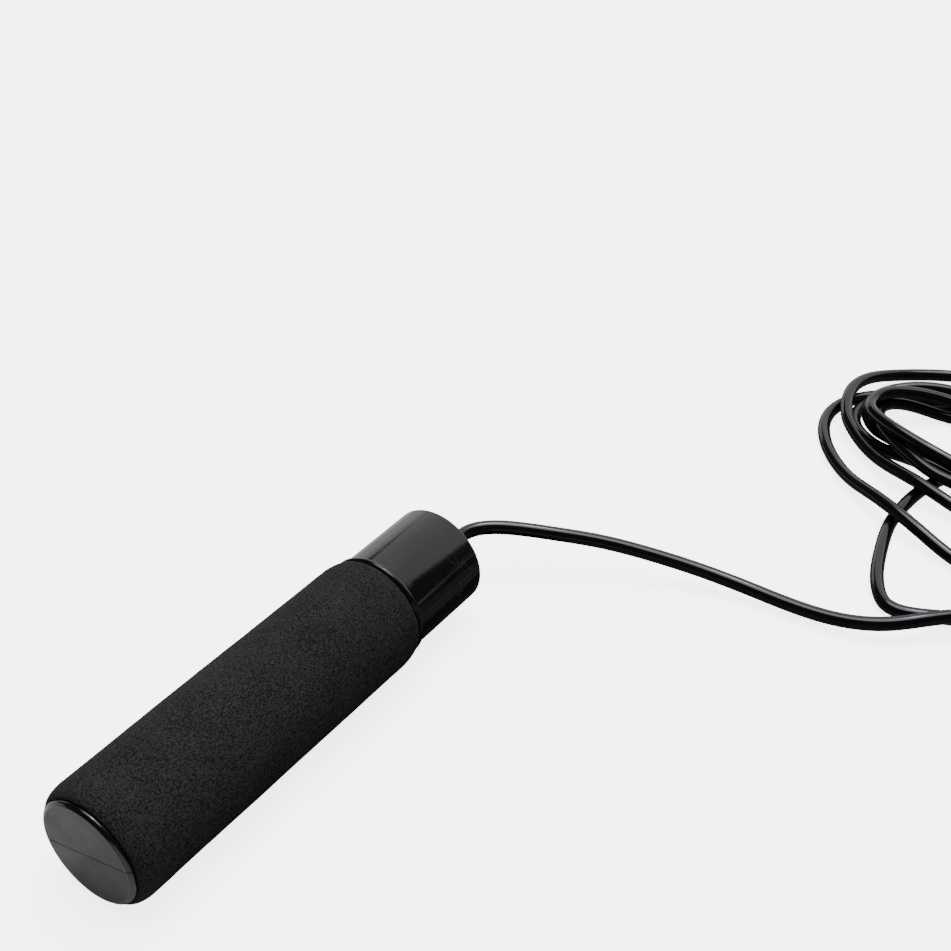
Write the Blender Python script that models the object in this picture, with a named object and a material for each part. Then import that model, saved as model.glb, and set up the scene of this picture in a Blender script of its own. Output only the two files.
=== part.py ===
"""A boxing jump rope lying on a table: two foam-gripped handles that spin on ball bearings at the
ends of one plastic cord, with the spare cord wound into an oval coil in front of them.

Lengths are in millimetres up to the point where a mesh or curve is made, which MM turns into
metres. A handle's outlines are lists of (along, radius): along runs from its butt face to its head.
"""

import math

import bmesh
import bpy
import numpy as np

MM = 0.001

# Frame: the handles lie along X and the table is at Z = 0.
HANDLE_LENGTH = 157.2
HANDLE_SPACING = 235.0
FOAM_RADIUS = 20.0
BUTT_X = -HANDLE_LENGTH / 2
HANDLES = {"a": (HANDLE_SPACING / 2, 169.5), "b": (-HANDLE_SPACING / 2, 205.0)}  # Y, parting angle

GAP = 0.3  # left between pieces that touch

# Core shells: butt flange, tube under the foam, bead and head
CAP_FACE_RADIUS = 16.4
FLANGE_RADIUS = 17.5
FLANGE_THICKNESS = 1.5
CORE_RADIUS = 13.7
CORE_BORE = 11.2
BUTT_WALL = 2.2
FOAM_FRONT = 122.6
FOAM_END_RADII = (17.7, 17.9)  # at the butt and at the bead
FOAM_ROUNDING = (5.8, 7.4)
BEAD_CENTRE = 124.0
BEAD_RADIUS = 18.7
HEAD_RADIUS = 17.8
HEAD_CHAMFER = 1.0
RIB_PLACES = (42.0, 82.0)
RIB_BORE = 7.5
CAVITY_RADIUS = 14.6
REAR_HOLE_RADIUS = 9.6
FRONT_HOLE_RADIUS = 6.6

# Ball bearing, held near the front of the head
BEARING_WIDTH = 7.0
BEARING_MIDDLE = 150.8
OUTER_RACE = (9.1, 11.0)
INNER_RACE = (4.0, 5.9)
BALL_COUNT = 7
BALL_RADIUS = 1.985
BALL_CIRCLE = 7.5
GROOVE_CLEARANCE = 0.25
CAGE_BAND = (6.75, 8.25)
FINGER_HALF_ANGLE = 6.5

# Cord, and what holds its ends
CORD_RADIUS = 2.5
CORD_END = 134.0
BUSH_RADIUS = 3.7
BUSH_FLANGE_RADIUS = 6.0
FERRULE_RADIUS = 4.3
FERRULE_LENGTH = 9.6
WASHER_RADIUS = 6.4
WASHER_THICKNESS = 1.0
CORD_POINT_SPACING = 11.0

# Routes from the front of each head to the coil, as X, Y, Z
ROUTE_A = [
    (86, 117.5, 20), (94, 116.7, 20), (102, 110.3, 19.5), (111.3, 95, 17.5), (120.2, 79.3, 14.5),
    (127.2, 63.1, 11), (132.6, 45.9, 7.5), (135.8, 27.7, 4.6), (137, 8.8, 3), (138.6, -7.5, 4.2),
    (143, -20.5, 7), (150.5, -30.5, 8.4), (160, -41.5, 8.4), (168.5, -54.5, 6), (176, -68, 4),
    (183, -80.5, 3),
]  # fmt: skip
ROUTE_B = [
    (86, -117.5, 20), (97.4, -117, 19), (111.4, -114, 15.5), (125.4, -107.5, 10), (138.4, -97.5, 5.5),
    (149.4, -84.5, 3), (157.4, -69.5, 2.5), (162.4, -53.5, 2.5), (162.9, -39, 2.5), (159.6, -30, 2.5),
    (156.6, -22.5, 2.5), (156.4, -15, 2.5), (161.9, -9, 2.5), (171.4, -4, 2.5), (182.4, -0.3, 2.5),
]  # fmt: skip

# Coil: the outline of the wound turns, an oval ring with round ends
COIL_CENTRE = (251.5, -35.0)
COIL_HALF_WIDTH = 68.5
COIL_HALF_LENGTH = 94.0
COIL_HOLE_HALF_WIDTH = 8.0
COIL_HEIGHT = 14.5

SHELL_SEGMENTS = 16  # in half a turn
FOAM_SEGMENTS = 32
SMALL_SEGMENTS = 24


def clear_scene():
    for thing in list(bpy.data.objects):
        bpy.data.objects.remove(thing, do_unlink=True)


def material(name, colour, roughness, metallic=0.0):
    made = bpy.data.materials.new(name)
    made.use_nodes = True
    shader = made.node_tree.nodes["Principled BSDF"]
    shader.inputs["Base Color"].default_value = (*colour, 1.0)
    shader.inputs["Roughness"].default_value = roughness
    shader.inputs["Metallic"].default_value = metallic
    return made


def make_materials():
    return {
        "foam": material("foam", (0.018, 0.018, 0.020), 0.85),
        "shell": material("shell", (0.012, 0.012, 0.013), 0.25),
        "cord": material("cord", (0.008, 0.008, 0.009), 0.18),
        "steel": material("steel", (0.62, 0.63, 0.65), 0.22, 1.0),
        "nylon": material("nylon", (0.70, 0.68, 0.60), 0.45),
        "zinc": material("zinc", (0.55, 0.56, 0.58), 0.40, 1.0),
    }


def axis_empty(letter, y):
    """The empty on a handle's spin axis, at the middle of its butt face."""
    empty = bpy.data.objects.new(f"spin_axis_{letter}", None)
    empty.location = (BUTT_X * MM, y * MM, FOAM_RADIUS * MM)
    bpy.context.scene.collection.objects.link(empty)
    return empty


def finish_mesh(name, mesh_builder, surface, parent=None):
    """Turns a bmesh in millimetres into a smooth-shaded object in metres."""
    bmesh.ops.remove_doubles(mesh_builder, verts=mesh_builder.verts, dist=1e-3)
    bmesh.ops.recalc_face_normals(mesh_builder, faces=mesh_builder.faces)
    bmesh.ops.scale(mesh_builder, vec=(MM, MM, MM), verts=mesh_builder.verts)
    mesh = bpy.data.meshes.new(name)
    mesh_builder.to_mesh(mesh)
    mesh_builder.free()
    mesh.materials.append(surface)
    mesh.shade_smooth()
    mesh.set_sharp_from_angle(angle=math.radians(35))
    made = bpy.data.objects.new(name, mesh)
    made.parent = parent
    bpy.context.scene.collection.objects.link(made)
    return made


def bridge(mesh_builder, columns, wrap):
    """Joins neighbouring closed columns of vertices with quads, and the last to the first if wrap."""
    pairs = list(zip(columns, columns[1:], strict=False))
    if wrap:
        pairs.append((columns[-1], columns[0]))
    for one, other in pairs:
        for i in range(len(one)):
            j = (i + 1) % len(one)
            mesh_builder.faces.new((one[i], one[j], other[j], other[i]))


def turned(name, outline, segments, surface, parent):
    """A closed outline spun once round the handle's axis."""
    mesh_builder = bmesh.new()
    columns = []
    for k in range(segments):
        angle = 2 * math.pi * k / segments
        c, s = math.cos(angle), math.sin(angle)
        columns.append([mesh_builder.verts.new((x, r * c, r * s)) for x, r in outline])
    bridge(mesh_builder, columns, wrap=True)
    return finish_mesh(name, mesh_builder, surface, parent)


def half_turned(name, outline, first_angle, surface, parent):
    """Half of a turned piece, from first_angle on, whose two flat sides stand half a gap back from
    the plane through the axis."""
    mesh_builder = bmesh.new()
    set_back = GAP / 2
    columns = []
    for k in range(SHELL_SEGMENTS + 1):
        column = []
        for x, radius in outline:
            r = max(radius, set_back)
            edge = math.asin(set_back / r)
            angle = first_angle + edge + (math.pi - 2 * edge) * k / SHELL_SEGMENTS
            column.append(mesh_builder.verts.new((x, r * math.cos(angle), r * math.sin(angle))))
        columns.append(column)
    bridge(mesh_builder, columns, wrap=False)
    mesh_builder.faces.new(columns[0])
    mesh_builder.faces.new(columns[-1])
    return finish_mesh(name, mesh_builder, surface, parent)


def shell_outline():
    """Half section of the core, from the middle of the butt face out, along, and back inside."""
    bead_start = FOAM_FRONT + GAP
    bead_half = BEAD_CENTRE - bead_start
    bead = [
        (BEAD_CENTRE - bead_half * math.cos(a), HEAD_RADIUS + (BEAD_RADIUS - HEAD_RADIUS) * math.sin(a))
        for a in (math.radians(d) for d in (0, 45, 90, 135, 180))
    ]
    pocket_front = BEARING_MIDDLE + BEARING_WIDTH / 2 + GAP
    pocket_rear = BEARING_MIDDLE - BEARING_WIDTH / 2 - GAP
    pocket_radius = OUTER_RACE[1] + GAP + 0.05
    rear_wall = pocket_rear - 2.4
    outside = [
        (0, 0),
        (0, CAP_FACE_RADIUS),
        (0.3, CAP_FACE_RADIUS + 0.6),
        (0.9, FLANGE_RADIUS - 0.06),
        (FLANGE_THICKNESS, FLANGE_RADIUS),
        (FLANGE_THICKNESS, CORE_RADIUS),
        (bead_start, CORE_RADIUS),
        *bead,
        (HANDLE_LENGTH - HEAD_CHAMFER, HEAD_RADIUS),
        (HANDLE_LENGTH, HEAD_RADIUS - HEAD_CHAMFER),
        (HANDLE_LENGTH, FRONT_HOLE_RADIUS),
        (pocket_front, FRONT_HOLE_RADIUS),
    ]
    inside = [
        (pocket_front, pocket_radius),
        (pocket_rear, pocket_radius),
        (pocket_rear, REAR_HOLE_RADIUS),
        (rear_wall, REAR_HOLE_RADIUS),
        (rear_wall, CAVITY_RADIUS),
        (BEAD_CENTRE + 2, CAVITY_RADIUS),
        (BEAD_CENTRE - 4, CORE_BORE),
    ]
    for place in sorted(RIB_PLACES, reverse=True):
        inside += [(place + 1, CORE_BORE), (place + 0.7, RIB_BORE)]
        inside += [(place - 0.7, RIB_BORE), (place - 1, CORE_BORE)]
    return outside + inside + [(BUTT_WALL, CORE_BORE), (BUTT_WALL, 0)]


def foam_outline():
    start = FLANGE_THICKNESS + GAP
    butt, front = FOAM_END_RADII
    long_butt, long_front = FOAM_ROUNDING
    butt_round = [
        (start + long_butt * (1 - math.cos(a)), butt + (FOAM_RADIUS - butt) * math.sin(a))
        for a in (math.radians(d) for d in (0, 30, 60, 90))
    ]
    front_round = [
        (FOAM_FRONT - long_front * (1 - math.cos(a)), front + (FOAM_RADIUS - front) * math.sin(a))
        for a in (math.radians(d) for d in (90, 60, 30, 0))
    ]
    bore = CORE_RADIUS + GAP + 0.1
    return [(start, bore), *butt_round, *front_round, (FOAM_FRONT, bore)]


def race_outline(land, back, groove):
    """A race's section: its back is plain, and its land has a shallow groove for the balls."""
    near, far = BEARING_MIDDLE - BEARING_WIDTH / 2, BEARING_MIDDLE + BEARING_WIDTH / 2
    middle = BEARING_MIDDLE
    return [
        (near, back),
        (near, land),
        (middle - 1.6, land),
        (middle - 0.8, groove),
        (middle + 0.8, groove),
        (middle + 1.6, land),
        (far, land),
        (far, back),
    ]


def quad(mesh_builder, one, other, first, second):
    """A face between the same two places of neighbouring columns."""
    mesh_builder.faces.new((one[first], one[second], other[second], other[first]))


def make_cage(name, surface, parent):
    """A crown: a flat ring beside the balls, with a finger between each two of them."""
    mesh_builder = bmesh.new()
    ring_back = BEARING_MIDDLE - 3.1
    ring_front = BEARING_MIDDLE - BALL_RADIUS - GAP
    finger_tip = BEARING_MIDDLE + 1.3
    turn = 2 * math.pi / BALL_COUNT
    half = math.radians(FINGER_HALF_ANGLE)
    stops = []
    for k in range(BALL_COUNT):
        middle = (k + 0.5) * turn
        stops += [(middle - half, finger_tip), (middle + half, finger_tip)]
        stops += [(middle + turn / 3, ring_front), (middle + 2 * turn / 3, ring_front)]
    columns = []
    for angle, _ in stops:
        c, s = math.cos(angle), math.sin(angle)
        columns.append(
            {
                (r, x): mesh_builder.verts.new((x, r * c, r * s))
                for r in CAGE_BAND
                for x in (ring_back, ring_front, finger_tip)
            }
        )
    low, high = CAGE_BAND
    for k, (_, front) in enumerate(stops):
        one, other = columns[k], columns[(k + 1) % len(stops)]
        raised = front == finger_tip and stops[(k + 1) % len(stops)][1] == finger_tip
        top = finger_tip if raised else ring_front
        quad(mesh_builder, one, other, (low, ring_back), (high, ring_back))
        quad(mesh_builder, other, one, (low, top), (high, top))
        for r in CAGE_BAND:
            quad(mesh_builder, one, other, (r, ring_back), (r, ring_front))
            if raised:
                quad(mesh_builder, one, other, (r, ring_front), (r, top))
        if raised:
            for side in (one, other):
                corners = [(low, ring_front), (high, ring_front), (high, top), (low, top)]
                mesh_builder.faces.new([side[corner] for corner in corners])
    loose = [v for v in mesh_builder.verts if not v.link_faces]
    bmesh.ops.delete(mesh_builder, geom=loose, context="VERTS")
    return finish_mesh(name, mesh_builder, surface, parent)


def make_balls(letter, surface, parent):
    for k in range(BALL_COUNT):
        angle = 2 * math.pi * k / BALL_COUNT
        mesh_builder = bmesh.new()
        bmesh.ops.create_uvsphere(mesh_builder, u_segments=10, v_segments=6, radius=BALL_RADIUS)
        ball = finish_mesh(f"bearing_ball_{letter}_{k + 1}", mesh_builder, surface, parent)
        ball.location = (
            BEARING_MIDDLE * MM,
            BALL_CIRCLE * math.cos(angle) * MM,
            BALL_CIRCLE * math.sin(angle) * MM,
        )


def bush_outline():
    """The flanged sleeve that lines the inner race and carries the cord out of the head."""
    bore = CORD_RADIUS + GAP
    rear = BEARING_MIDDLE - BEARING_WIDTH / 2
    flange = BEARING_MIDDLE + BEARING_WIDTH / 2 + GAP
    nose = HANDLE_LENGTH - 0.2
    return [
        (rear, bore),
        (rear, BUSH_RADIUS),
        (flange, BUSH_RADIUS),
        (flange, BUSH_FLANGE_RADIUS),
        (flange + 1.3, BUSH_FLANGE_RADIUS),
        (flange + 1.5, BUSH_FLANGE_RADIUS - 0.5),
        (flange + 1.6, BUSH_FLANGE_RADIUS - 1.6),
        (nose, BUSH_RADIUS),
        (nose, bore),
    ]


def washer_outline():
    bore = CORD_RADIUS + GAP
    front = BEARING_MIDDLE - BEARING_WIDTH / 2 - GAP
    rear = front - WASHER_THICKNESS
    return [(rear, bore), (rear, WASHER_RADIUS), (front, WASHER_RADIUS), (front, bore)]


def ferrule_outline():
    """The crimped sleeve that stops the cord's end, with two crimp waists."""
    bore = CORD_RADIUS + GAP
    front = BEARING_MIDDLE - BEARING_WIDTH / 2 - 2 * GAP - WASHER_THICKNESS
    rear = front - FERRULE_LENGTH
    waist = FERRULE_RADIUS - 0.6
    outline = [(rear, bore), (rear, FERRULE_RADIUS)]
    for share in (0.3, 0.7):
        middle = rear + share * FERRULE_LENGTH
        outline += [(middle - 1.3, FERRULE_RADIUS), (middle - 0.8, waist)]
        outline += [(middle + 0.8, waist), (middle + 1.3, FERRULE_RADIUS)]
    return outline + [(front, FERRULE_RADIUS), (front, bore)]


def make_handle(letter, y, parting_angle, surfaces):
    axis = axis_empty(letter, y)
    parting = math.radians(parting_angle)
    turned(f"foam_grip_{letter}", foam_outline(), FOAM_SEGMENTS, surfaces["foam"], axis)
    core = shell_outline()
    half_turned(f"shell_upper_{letter}", core, parting - math.pi, surfaces["shell"], axis)
    half_turned(f"shell_lower_{letter}", core, parting, surfaces["shell"], axis)
    inner_groove = BALL_CIRCLE - BALL_RADIUS - GROOVE_CLEARANCE
    outer_groove = BALL_CIRCLE + BALL_RADIUS + GROOVE_CLEARANCE
    outer = race_outline(OUTER_RACE[0], OUTER_RACE[1], outer_groove)
    inner = race_outline(INNER_RACE[1], INNER_RACE[0], inner_groove)
    turned(f"bearing_outer_race_{letter}", outer, SMALL_SEGMENTS, surfaces["steel"], axis)
    turned(f"bearing_inner_race_{letter}", inner, SMALL_SEGMENTS, surfaces["steel"], axis)
    make_cage(f"bearing_cage_{letter}", surfaces["nylon"], axis)
    make_balls(letter, surfaces["steel"], axis)
    turned(f"cord_bush_{letter}", bush_outline(), SMALL_SEGMENTS, surfaces["shell"], axis)
    turned(f"thrust_washer_{letter}", washer_outline(), SMALL_SEGMENTS, surfaces["steel"], axis)
    turned(f"crimp_ferrule_{letter}", ferrule_outline(), SMALL_SEGMENTS, surfaces["zinc"], axis)


def smooth_line(points, spacing):
    """Evenly spaced points along the natural cubic spline through points."""
    knots = np.array(points, float)
    chords = np.linalg.norm(np.diff(knots, axis=0), axis=1)
    at = np.concatenate([[0], np.cumsum(np.sqrt(chords))])
    count, step = len(at), np.diff(at)
    matrix, right = np.eye(count), np.zeros_like(knots)
    for i in range(1, count - 1):
        matrix[i, i - 1 : i + 2] = step[i - 1], 2 * (step[i - 1] + step[i]), step[i]
        slopes = np.diff(knots[i - 1 : i + 2], axis=0) / step[i - 1 : i + 1, None]
        right[i] = 6 * (slopes[1] - slopes[0])
    bends = np.linalg.solve(matrix, right)
    fine = []
    for i in range(count - 1):
        t = np.linspace(0, step[i], 40, endpoint=i == count - 2)[:, None]
        rest, h = step[i] - t, step[i]
        fine.append(
            (bends[i] * rest**3 + bends[i + 1] * t**3) / (6 * h)
            + (knots[i] / h - bends[i] * h / 6) * rest
            + (knots[i + 1] / h - bends[i + 1] * h / 6) * t
        )
    fine = np.concatenate(fine)
    along = np.concatenate([[0], np.cumsum(np.linalg.norm(np.diff(fine, axis=0), axis=1))])
    places = np.linspace(0, along[-1], round(along[-1] / spacing) + 1)
    return np.stack([np.interp(places, along, fine[:, k]) for k in range(3)], axis=1)


def make_cord(letter, y, route, surface):
    """A free stretch of the cord, from its crimped end inside the head to the coil."""
    stretch = np.linspace(BUTT_X + CORD_END, BUTT_X + HANDLE_LENGTH, 4)
    inside = [(x, y, FOAM_RADIUS) for x in stretch]
    line = smooth_line(inside + route, CORD_POINT_SPACING)
    curve = bpy.data.curves.new(f"cord_{letter}", "CURVE")
    curve.dimensions = "3D"
    curve.bevel_depth = CORD_RADIUS * MM
    curve.bevel_resolution = 3
    curve.use_fill_caps = True
    spline = curve.splines.new("POLY")
    spline.points.add(len(line) - 1)
    for point, place in zip(spline.points, line, strict=True):
        point.co = (*(place * MM), 1.0)
    curve.materials.append(surface)
    made = bpy.data.objects.new(f"cord_{letter}", curve)
    bpy.context.scene.collection.objects.link(made)


def stadium(half_width, half_length, steps):
    """An oval with straight sides and round ends, about the coil's centre."""
    straight = half_length - half_width
    points = []
    for end, start in ((1, 0), (-1, math.pi)):
        for k in range(steps + 1):
            angle = start + math.pi * k / steps
            x = COIL_CENTRE[0] + half_width * math.cos(angle)
            y = COIL_CENTRE[1] + end * straight + half_width * math.sin(angle)
            points.append((x, y))
    return points


def make_coil(surface):
    """The space that the wound turns fill."""
    wall = COIL_HALF_WIDTH - COIL_HOLE_HALF_WIDTH
    outer = stadium(COIL_HALF_WIDTH, COIL_HALF_LENGTH, 14)
    inner = stadium(COIL_HOLE_HALF_WIDTH, COIL_HALF_LENGTH - wall, 14)
    mesh_builder = bmesh.new()
    columns = []
    for (xo, yo), (xi, yi) in zip(outer, inner, strict=True):
        section = [(xi, yi, 0), (xo, yo, 0), (xo, yo, COIL_HEIGHT), (xi, yi, COIL_HEIGHT)]
        columns.append([mesh_builder.verts.new(place) for place in section])
    bridge(mesh_builder, columns, wrap=True)
    finish_mesh("cord_coil", mesh_builder, surface)


def main():
    clear_scene()
    surfaces = make_materials()
    for letter, (y, parting_angle) in HANDLES.items():
        make_handle(letter, y, parting_angle, surfaces)
    make_cord("a", HANDLES["a"][0], ROUTE_A, surfaces["cord"])
    make_cord("b", HANDLES["b"][0], ROUTE_B, surfaces["cord"])
    make_coil(surfaces["cord"])


main()
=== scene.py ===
"""Looks of the boxing jump rope: foam grips, glossy moulded cores, bearings, and one plastic cord
that runs from head to head through loose oval turns lying on the table.

Lengths of the object are in millimetres up to the point where a mesh is made, which MM turns into
metres. The studio and the grains of the materials are in metres. A handle's outlines are lists of
(along, radius): along runs from its butt face to its head.
"""

import math

import bmesh
import bpy
import numpy as np
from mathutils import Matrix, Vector, noise


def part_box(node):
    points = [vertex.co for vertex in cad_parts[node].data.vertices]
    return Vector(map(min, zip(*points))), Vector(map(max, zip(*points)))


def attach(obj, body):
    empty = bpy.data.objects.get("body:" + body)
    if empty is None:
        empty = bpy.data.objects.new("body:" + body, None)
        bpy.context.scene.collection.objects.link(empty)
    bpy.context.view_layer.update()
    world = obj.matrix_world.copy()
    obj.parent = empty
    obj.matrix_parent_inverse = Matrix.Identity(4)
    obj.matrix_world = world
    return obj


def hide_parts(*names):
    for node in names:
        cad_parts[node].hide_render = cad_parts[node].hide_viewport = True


MM = 0.001

# Camera
CAMERA_PLACE = (-253.75, -160.08, 359.19)
CAMERA_LOOK = (0.6993, 0.4524, -0.5535)
SENSOR = 36.0
FOCAL_LENGTH = 60.70
SHIFT = (-0.1243, -0.0554)
CLIP = (0.01, 20.0)

# Studio, in metres
ROOM_LIGHT = (0.05, 0.05, 0.052)
SKY_PATCHES = [
    ((3, 30), 41.5, 4.0, (1.2, 1.2, 1.22)),
    ((33, 80), 27.0, 9.0, (4.2, 4.4, 4.9)),
    ((56, 8), 17.0, 4.0, (1.2, 1.2, 1.22)),
    ((14, 67), 4.5, 2.0, (26.0, 27.0, 30.0)),
]  # azimuth and height, half angle, width of the soft edge, all in degrees, and colour
LAMP_PLACE = (0.2, -0.2, 1.8)
LAMP_SIZE = 1.6
LAMP_POWER = 50
FLOOR_SIZE = 12.0
FLOOR_HEIGHT = -0.00005
FLOOR_DIM = (0.45, 0.45, 0.45)
FLOOR_GLOW = 4.0
# Painted reflections: glowing cards on the table that only gloss sees. The two dark ones are a painted shadow
# of the handles on the table, and the pale one is a painted bright reflection.
PAINTED_REFLECTION_CARDS = [
    ((-0.07, -0.32), (0.50, 0.085), 0.13),
    ((-0.07, 0.085), (0.160, 0.140), 0.02),
    ((0.02, 0.150), (0.60, 0.90), 0.90),
]  # low and high X and Y, brightness
PAINTED_REFLECTION_HEIGHT = 0.0002

# Cord
CORD_RADIUS = 2.5
CORD_INSIDE = 23.2  # from the front of a head back to the cord's crimped end
TUBE_SIDES = 28
TUBE_STEP = 1.25
LINE_STEP = 2.5
SEPARATE = 20.0  # strands further apart along the cord than this can cross
LIFT_ROUNDS = 10
LIFT_EVENING = 60
LAY_ROUNDS = 420
LATE_ROUNDS = 220  # the last ones, in which the cord only sinks slowly
SINK = (0.06, 0.018)  # a round, early and late
HELD_A = 210  # length that stays as drawn, from the crimped end in head a
HELD_B = 120
EASE_IN = 60  # length over which the cord becomes free
PLAN_PULL = 0.02  # share of its drift in plan that the cord makes good in a round
STRAIGHTENING = 0.2
PUSH = 1.4
TOUCH = 2.02 * CORD_RADIUS  # distance at which two centrelines count as touching
NEAR = 4.4 * CORD_RADIUS
CREST_RADIUS = 75.0  # of the cord's bend over the strand below
CREST_REACH = 16  # line steps to each side of a crossing
CREST_SLACK = 0.2  # what evening the line takes off a crest
CREST_ROUNDS = 4
CREST_HELD = 20  # length that stays as it was at each end
BASE_EVENING = 24
CREST_EVENING = 12

# Routes from the front of each head to the coil, as X, Y, Z
ROUTE_A = [
    (86, 117.5, 20), (94, 116.7, 20), (102, 110.3, 19.5), (111.3, 95, 17.5), (120.2, 79.3, 14.5),
    (127.2, 63.1, 11), (132.6, 45.9, 7.5), (135.8, 27.7, 4.6), (137, 8.8, 3), (138.6, -7.5, 4.2),
    (143, -20.5, 7), (150.5, -30.5, 8.4), (160, -41.5, 8.4), (168.5, -54.5, 6), (176, -68, 4),
    (183, -80.5, 3),
]  # fmt: skip
ROUTE_B = [
    (86, -117.5, 20), (97.4, -117, 19), (111.4, -114, 15.5), (125.4, -107.5, 10), (138.4, -97.5, 5.5),
    (149.4, -84.5, 3), (157.4, -69.5, 2.5), (162.4, -53.5, 2.5), (162.9, -39, 2.5), (159.6, -30, 2.5),
    (156.6, -22.5, 2.5), (156.4, -15, 2.5), (161.9, -9, 2.5), (171.4, -4, 2.5), (182.4, -0.3, 2.5),
    (198.4, 3.5, 2.5), (213.4, 4, 2.5), (229.4, 1.5, 2.5), (244.4, -5.5, 2.5), (255.4, -17.5, 2.5),
]  # fmt: skip

# Turns from the lowest up: centre X and Y, half width, far and near half lengths, lean in radians
TURNS = [
    (235.9, -27.0, 42.9, 85.4, 90, -0.33),
    (255.9, -25.2, 27.6, 70.9, 88, -0.14),
    (267.9, -32.4, 28.9, 75.2, 87, 0.08),
    (252.3, -21.7, 25.6, 58.5, 86, -0.16),
    (258.9, -23.1, 25.5, 60.5, 86, 0.04),
    (266.3, -30.4, 50.3, 83.0, 92, -0.12),
    (247.4, -38.5, 58.0, 90.0, 92, -0.05),
]
TURN_START = -8.0  # degrees, on the side away from the handles
TURN_END = 233.0
TURN_POINTS = 16
OWN_SHARE = 0.24  # of a turn, to each side of its far end, in which it keeps its own size
BLEND_SHARE = 0.26
NEAR_WIDTH = 41.0  # least half width of a turn's near end

# Handle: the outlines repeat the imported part's, with finer roundings
HANDLE_LENGTH = 157.2
FOAM_START = 1.8
FOAM_FRONT = 122.6
FOAM_RADIUS = 20.0
FOAM_BORE = 14.1
FOAM_END_RADII = (17.7, 17.9)  # at the butt and at the bead
FOAM_ROUNDING = (5.8, 7.4)
CAP_FACE_RADIUS = 16.4
FLANGE_RADIUS = 17.5
FLANGE_THICKNESS = 1.5
CORE_RADIUS = 13.7
CORE_BORE = 11.2
BUTT_WALL = 2.2
BEAD_CENTRE = 124.0
BEAD_RADIUS = 18.7
BEAD_HALF = 1.1
HEAD_RADIUS = 17.8
RIB_PLACES = (42.0, 82.0)
RIB_BORE = 7.5
CAVITY_RADIUS = 14.6
REAR_HOLE_RADIUS = 9.6
FRONT_HOLE_RADIUS = 6.6
PARTING_GAP = 0.16
PARTING_EASE = 0.05
PARTING_ANGLES = {"a": 169.5, "b": 205.0}
SHELL_STEPS = 96  # in half a turn
SPIN_STEPS = 128
FOAM_STEPS = 288
FOAM_STEP = 0.8  # along the sleeve
FOAM_ROUND_STEPS = 14

# Ball bearing and the cord's end fittings
BEARING_WIDTH = 7.0
BEARING_MIDDLE = 150.8
OUTER_RACE = (9.1, 11.0)
INNER_RACE = (4.0, 5.9)
BALL_COUNT = 7
BALL_RADIUS = 1.985
BALL_CIRCLE = 7.5
CAGE_BAND = (6.75, 8.25)
GROOVE_CLEARANCE = 0.25
GAP = 0.3
BUSH_RADIUS = 3.7
BUSH_FLANGE_RADIUS = 6.0
FERRULE_RADIUS = 4.3
FERRULE_LENGTH = 9.6
WASHER_RADIUS = 6.4
WASHER_THICKNESS = 1.0
FITTING_BORE = 2.8


# Cord: route, resting turns, tube


def smooth_line(points, spacing):
    """Evenly spaced points along the natural cubic spline through points."""
    knots = np.array(points, float)
    chords = np.linalg.norm(np.diff(knots, axis=0), axis=1)
    at = np.concatenate([[0], np.cumsum(np.sqrt(chords))])
    count, step = len(at), np.diff(at)
    matrix, right = np.eye(count), np.zeros_like(knots)
    for i in range(1, count - 1):
        matrix[i, i - 1 : i + 2] = step[i - 1], 2 * (step[i - 1] + step[i]), step[i]
        slopes = np.diff(knots[i - 1 : i + 2], axis=0) / step[i - 1 : i + 1, None]
        right[i] = 6 * (slopes[1] - slopes[0])
    bends = np.linalg.solve(matrix, right)
    fine = []
    for i in range(count - 1):
        t = np.linspace(0, step[i], 24, endpoint=i == count - 2)[:, None]
        rest, h = step[i] - t, step[i]
        fine.append(
            (bends[i] * rest**3 + bends[i + 1] * t**3) / (6 * h)
            + (knots[i] / h - bends[i] * h / 6) * rest
            + (knots[i + 1] / h - bends[i + 1] * h / 6) * t
        )
    fine = np.concatenate(fine)
    along = distances(fine)
    places = np.linspace(0, along[-1], round(along[-1] / spacing) + 1)
    return np.stack([np.interp(places, along, fine[:, k]) for k in range(3)], axis=1)


def distances(line):
    """The distance along a line to each of its points."""
    return np.concatenate([[0], np.cumsum(np.linalg.norm(np.diff(line, axis=0), axis=1))])


def ramp(x):
    x = np.clip(x, 0, 1)
    return x * x * (3 - 2 * x)


def wound_turns():
    """Points of the turns, which run clockwise seen from above. Each turn keeps its own size over
    its far end and blends into the next one round its near end."""
    sizes = np.array(TURNS, float)
    last = len(sizes) - 1
    first = math.radians(TURN_START)
    end = math.radians(TURN_END) - 2 * math.pi * len(sizes)
    count = int(TURN_POINTS * (first - end) / (2 * math.pi)) + 1
    points = []
    for angle in np.linspace(first, end, count):
        turn = (math.pi / 2 - angle) / (2 * math.pi) - 1
        nearest = math.floor(turn + 0.5)
        off = turn - nearest
        share = ramp((abs(off) - OWN_SHARE) / BLEND_SHARE) / 2
        other = min(max(nearest + (1 if off > 0 else -1), 0), last)
        nearest = min(max(nearest, 0), last)
        x, y, width, far, near, lean = sizes[nearest] * (1 - share) + sizes[other] * share
        wider = max(NEAR_WIDTH - width, 0) * max(0, -math.sin(angle)) ** 2
        across = (width + wider) * math.cos(angle)
        along = (far if math.sin(angle) > 0 else near) * math.sin(angle)
        c, s = math.cos(lean), math.sin(lean)
        points.append((x + across * c - along * s, y + across * s + along * c, CORD_RADIUS))
    return points


def evened(height, rounds):
    """Heights along a line, each blended with its neighbours' so many times."""
    height = height.copy()
    for _ in range(rounds):
        height[1:-1] = (height[:-2] + 2 * height[1:-1] + height[2:]) / 4
    return height


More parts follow.
